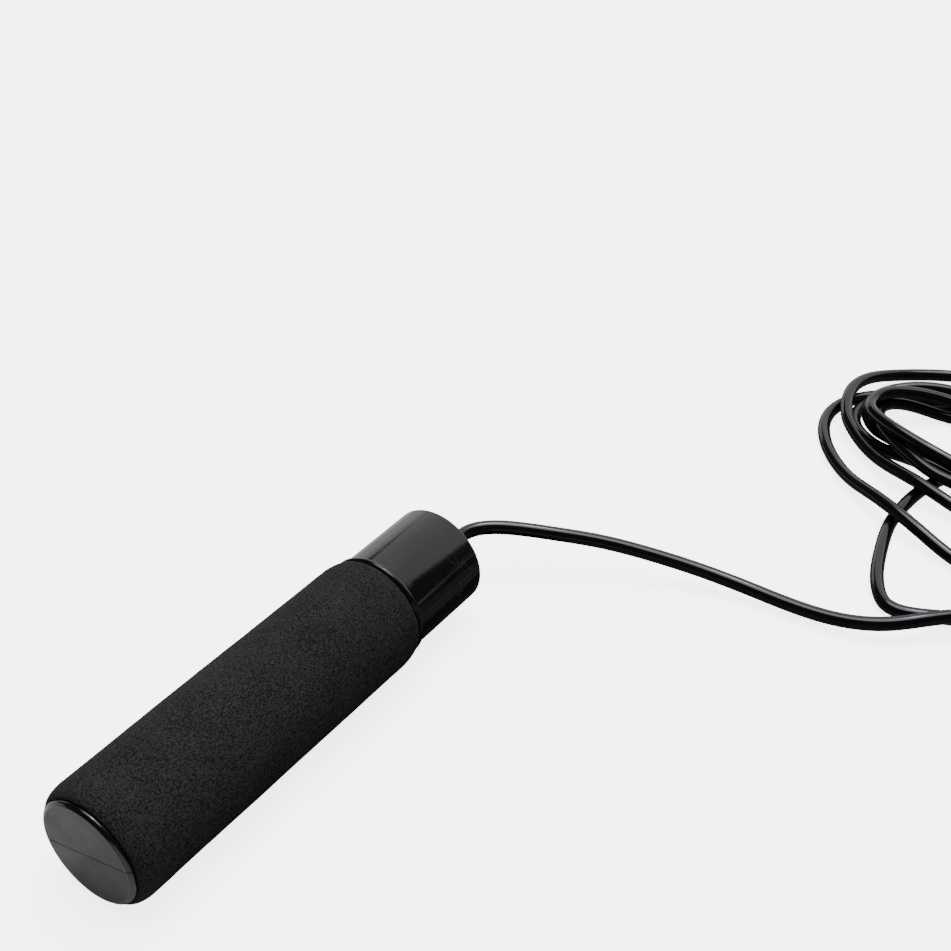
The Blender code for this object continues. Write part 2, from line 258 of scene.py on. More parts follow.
def lift_crossings(line):
    """Raises each stretch over the earlier ones that it crosses, in long low humps."""
    diameter = 2 * CORD_RADIUS
    along = distances(line[:, :2])
    apart = np.linalg.norm(line[:, None, :2] - line[None, :, :2], axis=2)
    earlier = along[:, None] - along[None, :] > SEPARATE
    rise = np.sqrt(np.maximum((1.02 * diameter) ** 2 - apart**2, 0))
    rise = np.where(earlier & (apart < diameter), rise, -np.inf)
    height = line[:, 2].copy()
    for _ in range(LIFT_ROUNDS):
        least = np.maximum(line[:, 2], (height[None, :] + rise).max(axis=1))
        height = least
        for _ in range(LIFT_EVENING):
            height = np.maximum(evened(height, 1), least)
    lifted = line.copy()
    lifted[:, 2] = height
    return lifted


def freedom(along, held_start, held_end):
    """0 on the lengths held at the two ends, and 1 on the cord between them."""
    return np.minimum(ramp((along - held_start) / EASE_IN), ramp((along[-1] - along - held_end) / EASE_IN))


def second_difference(line):
    bend = np.zeros_like(line)
    bend[1:-1] = line[:-2] + line[2:] - 2 * line[1:-1]
    return bend


def push_apart(line, one, other, free):
    """Moves the points of each touching pair apart until they are a cord's diameter apart."""
    between = line[one] - line[other]
    apart = np.linalg.norm(between, axis=1)
    touching = apart < TOUCH
    a, b = one[touching], other[touching]
    way = between[touching] / np.maximum(apart[touching], 1e-6)[:, None]
    push = way * ((TOUCH - apart[touching]) / 2)[:, None]
    moves, counts = np.zeros_like(line), np.zeros(len(line))
    np.add.at(moves, a, push)
    np.add.at(moves, b, -push)
    np.add.at(counts, a, 1)
    np.add.at(counts, b, 1)
    line += moves / np.maximum(counts, 1)[:, None] * PUSH * free[:, None]
    line[:, 2] = np.maximum(line[:, 2], CORD_RADIUS)


def lay_down(line):
    """Lets the turns sink under their weight on the table and on each other, as a springy cord
    that keeps its curves seen from above. Both ends stay as they were drawn."""
    flat = line.copy()
    flat[:, 2] = 0
    relaxed_bend = second_difference(flat)
    along = distances(line)
    free = freedom(along, HELD_A, HELD_B)
    start = line.copy()
    one, other = np.triu_indices(len(line), 7)
    for step in range(LAY_ROUNDS):
        line[:, 2] -= free * SINK[step >= LAY_ROUNDS - LATE_ROUNDS]
        line[:, :2] += PLAN_PULL * (start[:, :2] - line[:, :2])
        for _ in range(3):
            line += STRAIGHTENING * (second_difference(line) - relaxed_bend) * free[:, None]
        if step % 10 == 0:
            close = ((line[one] - line[other]) ** 2).sum(axis=1) < NEAR**2
            near_one, near_other = one[close], other[close]
        for _ in range(3):
            push_apart(line, near_one, near_other, free)
        line[free < 0.01] = start[free < 0.01]
    return line


def round_humps(line):
    """Gives the crests, which come out of lay_down pointed, the round shape of a stiff cord."""
    diameter = 2 * CORD_RADIUS
    along = distances(line)
    apart = np.linalg.norm(line[:, None, :2] - line[None, :, :2], axis=2)
    over = (np.abs(along[:, None] - along[None, :]) > SEPARATE) & (apart < diameter)
    over &= line[:, None, 2] > line[None, :, 2]
    rise = np.where(over, np.sqrt(np.maximum(diameter**2 - apart**2, 0)), -np.inf)
    steps = np.arange(-CREST_REACH, CREST_REACH + 1)
    drop = (steps * LINE_STEP) ** 2 / (2 * CREST_RADIUS)
    height = line[:, 2].copy()
    base = evened(height, BASE_EVENING)
    for _ in range(CREST_ROUNDS):
        least = (height[None, :] + rise).max(axis=1) + CREST_SLACK
        padded = np.pad(least, CREST_REACH, constant_values=-np.inf)
        crest = np.max([padded[k : k + len(least)] - drop[k] for k in range(len(steps))], axis=0)
        height = evened(np.maximum(base, crest), CREST_EVENING)
    line[:, 2] += freedom(along, CREST_HELD, CREST_HELD) * (height - line[:, 2])
    return line


def cord_line(exits):
    """The cord's centreline, from its crimped end in head a to the one in head b."""
    ends = []
    for letter, route in (("a", ROUTE_A), ("b", ROUTE_B)):
        x, y, z = exits[letter]
        inside = [(x - CORD_INSIDE * k / 3, y, z) for k in (3, 2, 1, 0)]
        ends.append(inside + route)
    from_b = ends[1] + wound_turns() + ends[0][::-1]
    line = lift_crossings(smooth_line(from_b, LINE_STEP))
    line = round_humps(lay_down(line[::-1].copy()))
    line = smooth_line(line[::2], TUBE_STEP)
    line[:, 2] = np.maximum(line[:, 2], CORD_RADIUS)
    return line


def tube_mesh(name, line, radius, sides):
    """A tube with flat ends round a line, with its sections carried along without twist."""
    count = len(line)
    ahead = np.gradient(line, axis=0)
    ahead /= np.linalg.norm(ahead, axis=1)[:, None]
    side = np.cross(ahead[0], (0, 0, 1))
    side /= np.linalg.norm(side)
    angles = np.linspace(0, 2 * math.pi, sides, endpoint=False)
    rings = []
    for k in range(count):
        side = side - ahead[k] * (side @ ahead[k])
        side /= np.linalg.norm(side)
        over = np.cross(ahead[k], side)
        ring = np.cos(angles)[:, None] * side + np.sin(angles)[:, None] * over
        rings.append(line[k] + radius * ring)
    points = np.concatenate([*rings, line[:1], line[-1:]]) * MM
    faces = []
    for k in range(count - 1):
        for i in range(sides):
            j = (i + 1) % sides
            a, b = k * sides, (k + 1) * sides
            faces.append((a + i, a + j, b + j, b + i))
    first, end, tail = count * sides, count * sides + 1, (count - 1) * sides
    for i in range(sides):
        j = (i + 1) % sides
        faces.append((first, j, i))
        faces.append((end, tail + i, tail + j))
    mesh = bpy.data.meshes.new(name)
    mesh.from_pydata(points.tolist(), [], faces)
    along = distances(line)
    layer = mesh.uv_layers.new(name="lengthways")
    places = []
    for face in faces:
        middles = {first: 0, end: count - 1}
        ring = [middles.get(index, index // sides) for index in face]
        turn = [index % sides if index < first else 0 for index in face]
        wraps = max(turn) == sides - 1 and min(turn) == 0
        for r, t in zip(ring, turn, strict=True):
            t = t + sides if wraps and t == 0 else t
            places += [t / sides, along[r] * MM]
    layer.data.foreach_set("uv", places)
    mesh.shade_smooth()
    mesh.update()
    return mesh


# Meshes of the handles' pieces


def rounded(corners, steps=6):
    """A closed outline from corners (along, radius, rounding), with arcs in the rounded ones."""
    points = []
    for k, (x, r, size) in enumerate(corners):
        if size == 0:
            points.append((x, r))
            continue
        corner = Vector((x, r))
        back = (Vector(corners[k - 1][:2]) - corner).normalized()
        on = (Vector(corners[(k + 1) % len(corners)][:2]) - corner).normalized()
        half = back.angle(on) / 2
        centre = corner + (back + on).normalized() * (size / math.sin(half))
        start = corner + back * (size / math.tan(half)) - centre
        end = corner + on * (size / math.tan(half)) - centre
        turn = start.angle_signed(end)
        for i in range(steps + 1):
            angle = -turn * i / steps
            c, s = math.cos(angle), math.sin(angle)
            points.append((centre.x + start.x * c - start.y * s, centre.y + start.x * s + start.y * c))
    return points


def inset(outline, depth):
    """A closed outline moved inwards all round, except on the axis."""
    area = sum(a[0] * b[1] - b[0] * a[1] for a, b in zip(outline, outline[1:] + outline[:1], strict=True))
    moved = []
    for k, (x, r) in enumerate(outline):
        before, after = Vector(outline[k - 1]), Vector(outline[(k + 1) % len(outline)])
        one = (Vector((x, r)) - before).normalized()
        other = (after - Vector((x, r))).normalized()
        along = (one + other).normalized()
        inwards = Vector((-along.y, along.x)) * (1 if area > 0 else -1)
        share = depth / max(0.5, math.cos(one.angle(other, 0) / 2))
        moved.append((x + inwards.x * share, max(r + inwards.y * share, 0)))
    return moved


def bridge(mesh_builder, columns, wrap):
    """Joins neighbouring closed columns of vertices with quads, and the last to the first if wrap."""
    pairs = list(zip(columns, columns[1:], strict=False))
    if wrap:
        pairs.append((columns[-1], columns[0]))
    for one, other in pairs:
        for i in range(len(one)):
            j = (i + 1) % len(one)
            mesh_builder.faces.new((one[i], one[j], other[j], other[i]))


def finish_piece(name, mesh_builder, place, surface, sharp=40):
    """Turns a bmesh in millimetres about place into a smooth-shaded object."""
    bmesh.ops.remove_doubles(mesh_builder, verts=mesh_builder.verts, dist=1e-3)
    bmesh.ops.recalc_face_normals(mesh_builder, faces=mesh_builder.faces)
    bmesh.ops.scale(mesh_builder, vec=(MM, MM, MM), verts=mesh_builder.verts)
    mesh = bpy.data.meshes.new(name)
    mesh_builder.to_mesh(mesh)
    mesh_builder.free()
    mesh.materials.append(surface)
    mesh.shade_smooth()
    mesh.set_sharp_from_angle(angle=math.radians(sharp))
    made = bpy.data.objects.new(name, mesh)
    made.location = [c * MM for c in place]
    bpy.context.scene.collection.objects.link(made)
    return made


def turned(name, outline, steps, place, surface, swell=None):
    """A closed outline spun once round X. swell gives a change of radius at (along, radius, angle)."""
    mesh_builder = bmesh.new()
    columns = []
    for k in range(steps):
        angle = 2 * math.pi * k / steps
        c, s = math.cos(angle), math.sin(angle)
        column = []
        for x, radius in outline:
            r = radius + (swell(x, radius, angle) if swell else 0)
            column.append(mesh_builder.verts.new((x, r * c, r * s)))
        columns.append(column)
    bridge(mesh_builder, columns, wrap=True)
    return finish_piece(name, mesh_builder, place, surface)


def half_turned(name, outline, first_angle, place, surface):
    """Half of a turned piece, from first_angle on. Its two flat sides stand half a gap back from
    the plane through the axis, and their edges are eased."""
    mesh_builder = bmesh.new()
    eased = inset(outline, PARTING_EASE)
    set_back = PARTING_GAP / 2
    columns = []

    def add_column(points, share, back):
        column = []
        for x, radius in points:
            r = max(radius, back)
            edge = math.asin(back / r)
            angle = first_angle + edge + (math.pi - 2 * edge) * share
            column.append(mesh_builder.verts.new((x, r * math.cos(angle), r * math.sin(angle))))
        columns.append(column)

    add_column(eased, 0, set_back)
    for k in range(SHELL_STEPS + 1):
        add_column(outline, k / SHELL_STEPS, set_back + PARTING_EASE)
    add_column(eased, 1, set_back)
    bridge(mesh_builder, columns, wrap=False)
    mesh_builder.faces.new(columns[0])
    mesh_builder.faces.new(columns[-1])
    return finish_piece(name, mesh_builder, place, surface)


def add_butt_face(shell, surface):
    """Gives the flat of the butt cap its own, satin surface."""
    mesh = shell.data
    mesh.materials.append(surface)
    for face in mesh.polygons:
        if face.normal.x < -0.999 and face.center.x < 0.01 * MM:
            face.material_index = 1


def shell_outline():
    """Half section of the core, from the middle of the butt face out, along, and back inside."""
    bead_start = FOAM_FRONT + GAP
    bead = []
    for k in range(13):
        angle = math.pi * k / 12
        lift = (BEAD_RADIUS - HEAD_RADIUS) * math.sin(angle)
        bead.append((BEAD_CENTRE - BEAD_HALF * math.cos(angle), HEAD_RADIUS + lift, 0))
    pocket_front = BEARING_MIDDLE + BEARING_WIDTH / 2 + GAP
    pocket_rear = BEARING_MIDDLE - BEARING_WIDTH / 2 - GAP
    pocket_radius = OUTER_RACE[1] + GAP
    rear_wall = pocket_rear - 2.4
    corners = [
        (0, 0, 0),
        (0, CAP_FACE_RADIUS, 0.9),
        (0.8, FLANGE_RADIUS, 0.5),
        (FLANGE_THICKNESS, FLANGE_RADIUS, 0.15),
        (FLANGE_THICKNESS, CORE_RADIUS, 0),
        (bead_start, CORE_RADIUS, 0),
        *bead,
        (HANDLE_LENGTH, HEAD_RADIUS, 1.1),
        (HANDLE_LENGTH, FRONT_HOLE_RADIUS, 0.5),
        (pocket_front, FRONT_HOLE_RADIUS, 0),
        (pocket_front, pocket_radius, 0),
        (pocket_rear, pocket_radius, 0),
        (pocket_rear, REAR_HOLE_RADIUS, 0.3),
        (rear_wall, REAR_HOLE_RADIUS, 0.3),
        (rear_wall, CAVITY_RADIUS, 0.8),
        (BEAD_CENTRE + 2, CAVITY_RADIUS, 1.5),
        (BEAD_CENTRE - 4, CORE_BORE, 1.5),
    ]
    for rib in sorted(RIB_PLACES, reverse=True):
        corners += [(rib + 1, CORE_BORE, 0.2), (rib + 0.7, RIB_BORE, 0.2)]
        corners += [(rib - 0.7, RIB_BORE, 0.2), (rib - 1, CORE_BORE, 0.2)]
    return rounded(corners + [(BUTT_WALL, CORE_BORE, 0.8), (BUTT_WALL, 0, 0)])


def foam_outline():
    """Half section of the sleeve, with its bulging ends as quarters of ellipses."""
    butt, front = FOAM_END_RADII
    long_butt, long_front = FOAM_ROUNDING
    steps = FOAM_ROUND_STEPS
    points = [(FOAM_START, FOAM_BORE)]
    for k in range(steps + 1):
        angle = math.pi / 2 * k / steps
        radius = butt + (FOAM_RADIUS - butt) * math.sin(angle)
        points.append((FOAM_START + long_butt * (1 - math.cos(angle)), radius))
    first, last = FOAM_START + long_butt, FOAM_FRONT - long_front
    count = round((last - first) / FOAM_STEP)
    points += [(first + (last - first) * k / count, FOAM_RADIUS) for k in range(1, count)]
    for k in range(steps + 1):
        angle = math.pi / 2 * (1 - k / steps)
        radius = front + (FOAM_RADIUS - front) * math.sin(angle)
        points.append((FOAM_FRONT - long_front * (1 - math.cos(angle)), radius))
    return points + [(FOAM_FRONT, FOAM_BORE)]


def foam_swell(seed):
    """The foam's slight unevenness: long soft waves, with smaller dimples on them."""

    def swell(x, radius, angle):
        if radius < FOAM_BORE + 1:
            return 0
        around = Vector((x, FOAM_RADIUS * math.cos(angle), FOAM_RADIUS * math.sin(angle)))
        long_wave = noise.noise(around / 26 + Vector((seed, 0, 0)))
        dimple = noise.noise(around / 5 + Vector((0, seed, 0)))
        return 0.16 * long_wave + 0.05 * dimple

    return swell


def race_outline(land, back, groove_radius):
    """A race's section, with a round groove in its land for the balls."""
    near, far = BEARING_MIDDLE - BEARING_WIDTH / 2, BEARING_MIDDLE + BEARING_WIDTH / 2
    side = 1 if groove_radius > land else -1
    curve = BALL_RADIUS + GROOVE_CLEARANCE
    depth = abs(groove_radius - land)
    reach = math.sqrt(curve**2 - (curve - depth) ** 2)
    corners = [(near, back, 0.3), (near, land, 0.2)]
    for k in range(13):
        x = reach * (2 * k / 12 - 1)
        corners.append((BEARING_MIDDLE + x, land + side * (math.sqrt(curve**2 - x * x) - curve + depth), 0))
    return rounded(corners + [(far, land, 0.2), (far, back, 0.3)])


def make_cage(name, place, surface):
    """A crown: a ring behind the balls, hollowed round each, with a finger between each two."""
    pocket = BALL_RADIUS + GAP
    back, tip = BEARING_MIDDLE - 3.1, BEARING_MIDDLE + 1.3
    low, high = CAGE_BAND
    mesh_builder = bmesh.new()
    columns = []
    turn = 2 * math.pi / BALL_COUNT
    cup = math.asin(pocket / BALL_CIRCLE)
    for ball in range(BALL_COUNT):
        stops = []
        for k in range(-12, 13):
            stops.append((cup * k / 12, BEARING_MIDDLE - pocket * math.sqrt(1 - (k / 12) ** 2)))
        stops += [(cup + 0.004, tip), ((cup + turn / 2) / 2, tip), (turn / 2, tip)]
        stops += [(turn - (cup + turn / 2) / 2, tip), (turn - cup - 0.004, tip)]
        for off, front in stops:
            angle = ball * turn + off
            c, s = math.cos(angle), math.sin(angle)
            section = ((back, low), (back, high), (front, high), (front, low))
            columns.append([mesh_builder.verts.new((x, r * c, r * s)) for x, r in section])
    bridge(mesh_builder, columns, wrap=True)
    return finish_piece(name, mesh_builder, place, surface)


def make_ball(name, angle, place, surface):
    mesh_builder = bmesh.new()
    bmesh.ops.create_uvsphere(mesh_builder, u_segments=32, v_segments=20, radius=BALL_RADIUS)
    x, y, z = place
    centre = (x + BEARING_MIDDLE, y + BALL_CIRCLE * math.cos(angle), z + BALL_CIRCLE * math.sin(angle))
    return finish_piece(name, mesh_builder, centre, surface)


def bush_outline():
    """The flanged sleeve that lines the inner race and carries the cord out of the head."""
    flange = BEARING_MIDDLE + BEARING_WIDTH / 2 + GAP
    return rounded(
        [
            (BEARING_MIDDLE - BEARING_WIDTH / 2, FITTING_BORE, 0.15),
            (BEARING_MIDDLE - BEARING_WIDTH / 2, BUSH_RADIUS, 0.2),
            (flange, BUSH_RADIUS, 0),
            (flange, BUSH_FLANGE_RADIUS, 0.2),
            (flange + 1.5, BUSH_FLANGE_RADIUS, 0.5),
            (flange + 1.6, BUSH_RADIUS + 0.7, 0.4),
            (HANDLE_LENGTH - 0.2, BUSH_RADIUS, 0.3),
            (HANDLE_LENGTH - 0.2, FITTING_BORE, 0.4),
        ]
    )


def washer_outline():
    front = BEARING_MIDDLE - BEARING_WIDTH / 2 - GAP
    rear = front - WASHER_THICKNESS
    return rounded(
        [
            (rear, FITTING_BORE, 0.15),
            (rear, WASHER_RADIUS, 0.25),
            (front, WASHER_RADIUS, 0.15),
            (front, FITTING_BORE, 0.15),
        ]
    )


def ferrule_outline():
    """The crimped sleeve that stops the cord's end, with two crimp waists."""
    front = BEARING_MIDDLE - BEARING_WIDTH / 2 - 2 * GAP - WASHER_THICKNESS
    rear = front - FERRULE_LENGTH
    waist = FERRULE_RADIUS - 0.6
    corners = [(rear, FITTING_BORE, 0.2), (rear, FERRULE_RADIUS, 0.3)]
    for share in (0.3, 0.7):
        middle = rear + share * FERRULE_LENGTH
        corners += [(middle - 1.3, FERRULE_RADIUS, 0.3), (middle - 0.8, waist, 0.3)]
        corners += [(middle + 0.8, waist, 0.3), (middle + 1.3, FERRULE_RADIUS, 0.3)]
    return rounded(corners + [(front, FERRULE_RADIUS, 0.3), (front, FITTING_BORE, 0.2)])


def handle_place(letter):
    """The middle of a handle's butt face, in millimetres."""
    low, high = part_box(f"foam_grip_{letter}")
    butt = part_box(f"shell_upper_{letter}")[0].x
    return (butt / MM, (low.y + high.y) / 2 / MM, (low.z + high.z) / 2 / MM)


def mount(piece, body, slot, *nodes):
    """The piece stands for CAD nodes, which it hides, and rides on their body. slot is not used."""
    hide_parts(*nodes)
    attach(piece, body)
    return piece


def make_handle(letter, surfaces):
    """Every piece of one handle, and what turns in it. Returns its ferrule, which is on the cord."""
    place = handle_place(letter)
    handle, train = f"handle_{letter}", f"bearing_train_{letter}"
    swell = foam_swell(3.7 if letter == "a" else 8.2)
    sleeve = turned(f"grip_sleeve_{letter}", foam_outline(), FOAM_STEPS, place, surfaces["foam"], swell)
    mount(sleeve, handle, "foam", f"foam_grip_{letter}")

    parting = math.radians(PARTING_ANGLES[letter])
    core = shell_outline()
    for half, first in (("upper", parting - math.pi), ("lower", parting)):
        shell = half_turned(f"core_{half}_{letter}", core, first, place, surfaces["shell"])
        add_butt_face(shell, surfaces["butt"])
        mount(shell, handle, "shell", f"shell_{half}_{letter}")

    groove = BALL_RADIUS + GROOVE_CLEARANCE
    outer = race_outline(OUTER_RACE[0], OUTER_RACE[1], BALL_CIRCLE + groove)
    inner = race_outline(INNER_RACE[1], INNER_RACE[0], BALL_CIRCLE - groove)
    for kind, outline, body in (("outer", outer, handle), ("inner", inner, "rope")):
        race = turned(f"{kind}_race_{letter}", outline, SPIN_STEPS, place, surfaces["steel"])
        mount(race, body, "bearing_steel", f"bearing_{kind}_race_{letter}")
    cage = make_cage(f"cage_{letter}", place, surfaces["nylon"])
    mount(cage, train, "cage_nylon", f"bearing_cage_{letter}")
    for k in range(BALL_COUNT):
        ball = make_ball(f"ball_{letter}_{k + 1}", 2 * math.pi * k / BALL_COUNT, place, surfaces["steel"])
        mount(ball, train, "bearing_steel", f"bearing_ball_{letter}_{k + 1}")

    bush = turned(f"bush_{letter}", bush_outline(), SPIN_STEPS, place, surfaces["bush"])
    mount(bush, "rope", "bush", f"cord_bush_{letter}")
    washer = turned(f"washer_{letter}", washer_outline(), SPIN_STEPS, place, surfaces["washer"])
    mount(washer, "rope", "washer_steel", f"thrust_washer_{letter}")
    ferrule = turned(f"ferrule_{letter}", ferrule_outline(), SPIN_STEPS, place, surfaces["zinc"])
    mount(ferrule, "rope", "ferrule_zinc", f"crimp_ferrule_{letter}")
    return ferrule


def make_jump_cord(surface):
    exits = {}
    for letter in "ab":
        x, y, z = handle_place(letter)
        exits[letter] = (x + HANDLE_LENGTH, y, z)
    line = cord_line(exits)
    mesh = tube_mesh("jump_cord", line, CORD_RADIUS, TUBE_SIDES)
    mesh.materials.append(surface)
    cord = bpy.data.objects.new("jump_cord", mesh)
    bpy.context.scene.collection.objects.link(cord)
    mount(cord, "rope", "cord", "cord_a", "cord_b", "cord_coil")


# Materials


def add_node(tree, kind, inputs=None, **settings):
    """A shader node with its settings, and with each input linked to a socket or set to a value."""
    made = tree.nodes.new(kind)
    for key, value in settings.items():
        setattr(made, key, value)
    for key, value in (inputs or {}).items():
        if isinstance(value, bpy.types.NodeSocket):
            tree.links.new(value, made.inputs[key])
        else:
            made.inputs[key].default_value = value
    return made


class Surface:
    """A material on a Principled shader, with short ways to build its maps in metres."""

    def __init__(self, name, **sockets):
        self.material = bpy.data.materials.new(name)
        self.material.use_nodes = True
        self.tree = self.material.node_tree
        self.shader = self.tree.nodes["Principled BSDF"]
        for key, value in sockets.items():
            self.shader.inputs[key.replace("_", " ")].default_value = value
        self.places = add_node(self.tree, "ShaderNodeTexCoord")

    def node(self, kind, inputs=None, **settings):
        return add_node(self.tree, kind, inputs, **settings)

    def link(self, socket, name):
        self.tree.links.new(socket, self.shader.inputs[name])

    def grain(self, size, detail=3.0, roughness=0.5, stretch=(1, 1, 1), source="Object"):
        """Noise from 0 to 1 whose blobs are about size metres across."""
        scaled = self.node(
            "ShaderNodeMapping", {"Vector": self.places.outputs[source], "Scale": stretch}
        )
        made = self.node(
            "ShaderNodeTexNoise",
            {"Vector": scaled.outputs[0], "Scale": 1 / size, "Detail": detail, "Roughness": roughness},
        )
        return made.outputs["Fac"]

    def range(self, socket, from_low, from_high, to_low, to_high, smooth=False):
        kind = "SMOOTHSTEP" if smooth else "LINEAR"
        made = self.node(
            "ShaderNodeMapRange",
            {
                "Value": socket,
                "From Min": from_low,
                "From Max": from_high,
                "To Min": to_low,
                "To Max": to_high,
            },
            interpolation_type=kind,
        )
        return made.outputs[0]

    def math(self, operation, one, other=0.0, third=0.0):
        made = self.node("ShaderNodeMath", {0: one, 1: other, 2: third}, operation=operation)
        return made.outputs[0]

    def mix(self, share, one, other):
        """A colour between one and other."""
        made = self.node("ShaderNodeMix", data_type="RGBA")
        for key, value in ((0, share), (6, one), (7, other)):
            if isinstance(value, bpy.types.NodeSocket):
                self.tree.links.new(value, made.inputs[key])
            else:
                made.inputs[key].default_value = value if key == 0 else (*value, 1)
        return made.outputs[2]

    def relief(self, height, distance, strength=1.0, under=None):
        """A bump of that depth in metres, over another one."""
        inputs = {"Height": height, "Distance": distance, "Strength": strength}
        if under is not None:
            inputs["Normal"] = under
        return self.node("ShaderNodeBump", inputs).outputs[0]


def foam_surface():
    """Closed-cell foam: matte, with a salt-and-pepper grain of cells and a few specks of dust."""
    s = Surface("foam", Specular_IOR_Level=0.16)
    cells = s.grain(0.00052, detail=1.0, roughness=0.4)
    mottle = s.grain(0.0013, detail=3.0, roughness=0.6)
    cloud = s.grain(0.016, detail=2.0)
    shade = s.math("ADD", s.math("MULTIPLY", cells, 0.68), s.math("MULTIPLY", mottle, 0.22))
    shade = s.math("ADD", shade, s.math("MULTIPLY", cloud, 0.10))
    colour = s.mix(s.range(shade, 0.38, 0.62, 0, 1), (0.0024, 0.0024, 0.0025), (0.0205, 0.0204, 0.0212))
    speck = dust_specks(s, 0.0042, 0.16, 0.00028)
    s.link(s.mix(s.math("MULTIPLY", speck, 0.4), colour, (0.13, 0.13, 0.135)), "Base Color")
    s.link(s.range(mottle, 0.3, 0.7, 0.80, 0.94), "Roughness")
    pores = s.relief(cells, 0.00030, 0.9)
    s.link(s.relief(mottle, 0.00025, 0.6, pores), "Normal")
    return s.material


def dust_specks(s, spacing, share, size):
    """1 on sparse round specks and 0 elsewhere: share of the cells hold one, up to size metres."""
    cells = s.node("ShaderNodeTexVoronoi", {"Vector": s.places.outputs["Object"], "Scale": 1 / spacing})
    chance = s.node("ShaderNodeSeparateColor", {0: cells.outputs["Color"]}).outputs[0]
    reach = s.range(chance, 1 - share, 1.0, 0.0, size / spacing)
    return s.math("LESS_THAN", cells.outputs["Distance"], reach)


def hairlines(s, size, stretch, turn):
    """1 on fine curved lines, which follow one level of a stretched noise."""
    places = s.node(
        "ShaderNodeMapping",
        {"Vector": s.places.outputs["Object"], "Rotation": (turn, turn / 3, turn), "Scale": stretch},
    ).outputs[0]
    level = s.node("ShaderNodeTexNoise", {"Vector": places, "Scale": 1 / size, "Detail": 1.0}).outputs["Fac"]
    return s.range(s.math("ABSOLUTE", s.math("SUBTRACT", level, 0.5)), 0.0, 0.004, 1, 0)


def shell_surface():
    """Glossy black moulding with the marks of use: hairline scratches, faint haze and dust."""
    s = Surface("shell", Specular_IOR_Level=0.5, IOR=1.5)
    cloud = s.grain(0.009, detail=4.0, roughness=0.6)
    s.link(s.range(cloud, 0.3, 0.7, 0.10, 0.17), "Roughness")
    lines = s.math("MAXIMUM", hairlines(s, 0.009, (0.25, 1, 1), 0.5), hairlines(s, 0.013, (1, 0.3, 1), 0.9))
    scratch = s.math("MULTIPLY", lines, s.range(s.grain(0.012, detail=1.0), 0.50, 0.60, 0, 1))
    speck = dust_specks(s, 0.0045, 0.2, 0.00022)
    marks = s.math("MAXIMUM", s.math("MULTIPLY", scratch, 0.22), s.math("MULTIPLY", speck, 0.5))
    base = s.mix(cloud, (0.0018, 0.0018, 0.0020), (0.0034, 0.0034, 0.0036))
    s.link(s.mix(marks, base, (0.10, 0.10, 0.105)), "Base Color")
    peel = s.relief(s.grain(0.0042, detail=2.0), 0.00003, 0.4)
    s.link(s.relief(scratch, 0.00001, 0.4, peel), "Normal")
    return s.material


def butt_surface():
    """The satin flat of the butt cap: finely stippled, a little warm, with faint rub marks."""
    s = Surface("butt face", Specular_IOR_Level=0.42, IOR=1.5)
    fine = s.grain(0.0005, detail=2.0)
    cloud = s.grain(0.008, detail=4.0, roughness=0.6)
    s.link(s.range(s.math("ADD", s.math("MULTIPLY", fine, 0.4), cloud), 0.5, 0.9, 0.34, 0.46), "Roughness")
    rub = s.math("MULTIPLY", hairlines(s, 0.011, (1, 0.3, 1), 1.1), s.range(cloud, 0.5, 0.6, 0, 0.3))
    speck = dust_specks(s, 0.004, 0.15, 0.0002)
    base = s.mix(cloud, (0.0068, 0.0070, 0.0062), (0.0100, 0.0102, 0.0092))
    marks = s.math("MAXIMUM", rub, s.math("MULTIPLY", speck, 0.4))
    s.link(s.mix(marks, base, (0.08, 0.08, 0.078)), "Base Color")
    s.link(s.relief(fine, 0.00008, 0.5), "Normal")
    return s.material


def cord_surface():
    """Extruded black plastic: very glossy, with faint lengthwise streaks and a few scuffs."""
    s = Surface("cord", Specular_IOR_Level=0.5, IOR=1.52)
    streaks = s.grain(0.16, detail=3.0, stretch=(1, 1.2, 1), source="UV")
    blotch = s.grain(0.006, detail=3.0)
    fine = s.grain(0.0009, detail=2.0)
    s.link(s.range(s.math("ADD", blotch, s.math("MULTIPLY", fine, 0.3)), 0.45, 0.85, 0.07, 0.15), "Roughness")
    scuff = s.range(blotch, 0.66, 0.74, 0, 0.5, smooth=True)
    scuff = s.math("MULTIPLY", scuff, s.range(fine, 0.45, 0.6, 0, 1))
    base = s.mix(streaks, (0.0012, 0.0012, 0.0014), (0.0026, 0.0026, 0.0030))
    s.link(s.mix(scuff, base, (0.035, 0.035, 0.038)), "Base Color")
    drawn = s.relief(streaks, 0.00006, 0.5)
    s.link(s.relief(fine, 0.00002, 0.4, drawn), "Normal")
    return s.material


def plain_plastic(name, dark, light, roughness):
    """Moulded plastic with a fine texture and slight clouding."""
    s = Surface(name)
    cloud = s.grain(0.003, detail=4.0)
    fine = s.grain(0.0004, detail=2.0)
    s.link(s.mix(cloud, dark, light), "Base Color")
    s.link(s.range(fine, 0.3, 0.7, roughness - 0.06, roughness + 0.06), "Roughness")
    s.link(s.relief(fine, 0.00004, 0.5), "Normal")
    return s.material


def turned_metal(name, dark, light, roughness):
    """Metal with the fine rings that turning and grinding leave about X."""
    s = Surface(name, Metallic=1.0)
    x, y, z = s.node("ShaderNodeSeparateXYZ", {0: s.places.outputs["Object"]}).outputs
    radius = s.math("SQRT", s.math("ADD", s.math("MULTIPLY", y, y), s.math("MULTIPLY", z, z)))
    across = s.node("ShaderNodeCombineXYZ", {0: x, 1: radius}).outputs[0]
    rings = s.node("ShaderNodeTexNoise", {"Vector": across, "Scale": 9000.0, "Detail": 2.0}).outputs["Fac"]
    stain = s.grain(0.002, detail=3.0)
    s.link(s.mix(stain, dark, light), "Base Color")
    s.link(s.range(rings, 0.3, 0.7, roughness - 0.05, roughness + 0.07), "Roughness")
    s.link(s.relief(rings, 0.000008, 0.5), "Normal")
    return s.material


